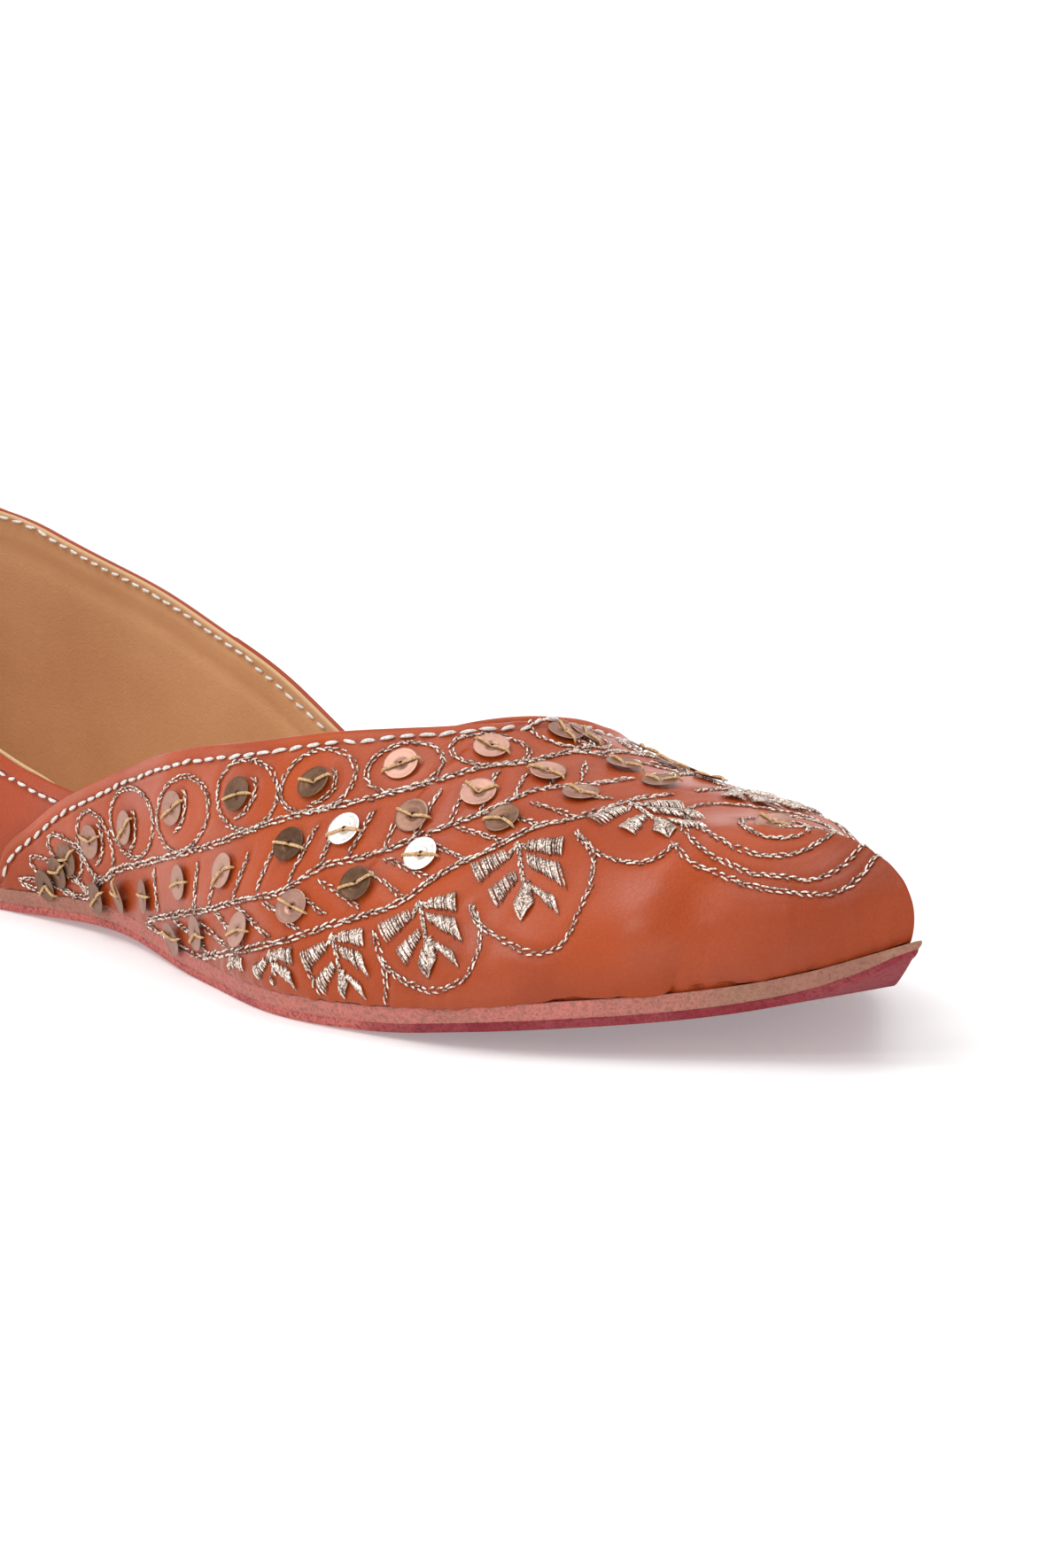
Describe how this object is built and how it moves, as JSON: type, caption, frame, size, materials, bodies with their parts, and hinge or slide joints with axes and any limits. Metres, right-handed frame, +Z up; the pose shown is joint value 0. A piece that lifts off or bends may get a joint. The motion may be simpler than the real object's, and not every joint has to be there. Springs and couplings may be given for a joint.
{
  "type": "mojari shoe",
  "caption": "Pointed low-cut leather slip-on shoe for the left foot, with an open collar, a low vamp with side wings and a thin flat leather sole.",
  "frame": {"origin": "on the floor, halfway along the whole shoe and on its centre line", "axes": "+X towards the toe, +Y towards the outer side of the foot, +Z up"},
  "size_m": [0.2592, 0.0842, 0.0538],
  "materials": {
    "red_leather": "dyed flesh side, matt",
    "sole_leather": "rough cut edge, matt",
    "lining_leather": "smooth, matt",
    "quarter_leather": "smooth, satin",
    "vamp_leather": "smooth, satin"
  },
  "bodies": {
    "root": {"outsole": "red_leather", "midsole": "sole_leather", "insole": "lining_leather", "upper": "quarter_leather", "vamp": "vamp_leather"}
  },
  "joints": []
}
